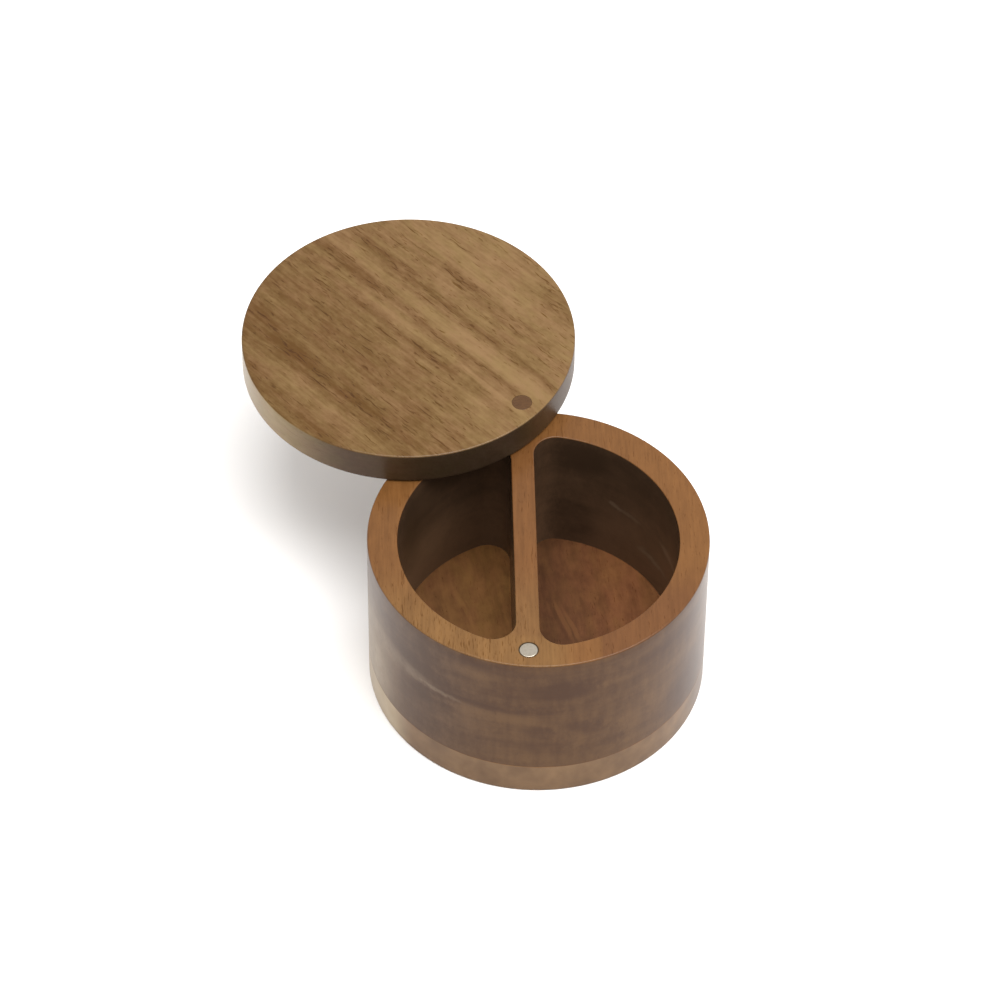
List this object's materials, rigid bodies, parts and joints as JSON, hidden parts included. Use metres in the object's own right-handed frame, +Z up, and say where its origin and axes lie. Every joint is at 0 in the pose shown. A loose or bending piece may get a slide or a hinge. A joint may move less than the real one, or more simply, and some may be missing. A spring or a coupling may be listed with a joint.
{
  "type": "spice box",
  "caption": "Round wooden spice box with a divided inside and a flat round lid that swivels on an upright pivot and is caught shut by magnets.",
  "frame": {"origin": "centre of the underside of the base disc", "axes": "+Z up, +Y from the catch magnet at the front towards the pivot at the back, +X to the right seen from the front"},
  "size_m": [0.1647, 0.2063, 0.08],
  "materials": {
    "base_wood": "satin oil",
    "block_wood": "satin oil",
    "lid_wood": "satin oil",
    "plug_wood": "satin oil, end grain",
    "screw_steel": "zinc plated",
    "washer_nylon": "moulded nylon",
    "magnet_nickel": "satin nickel plate"
  },
  "bodies": {
    "box": {"base_disc": "base_wood", "body_block": "block_wood", "pivot_screw": "screw_steel", "spacer_washer": "washer_nylon", "rim_magnet": "magnet_nickel"},
    "lid": {"lid": "lid_wood", "pivot_plug": "plug_wood", "lid_magnet": "magnet_nickel"}
  },
  "joints": [
    {"name": "lid_swivel", "type": "hinge", "parent": "box", "child": "lid", "pos_m": [-0.0047, 0.0523, 0.0676], "axis": [0, 0, 1], "range_deg": [-224.5, 135.5]}
  ]
}
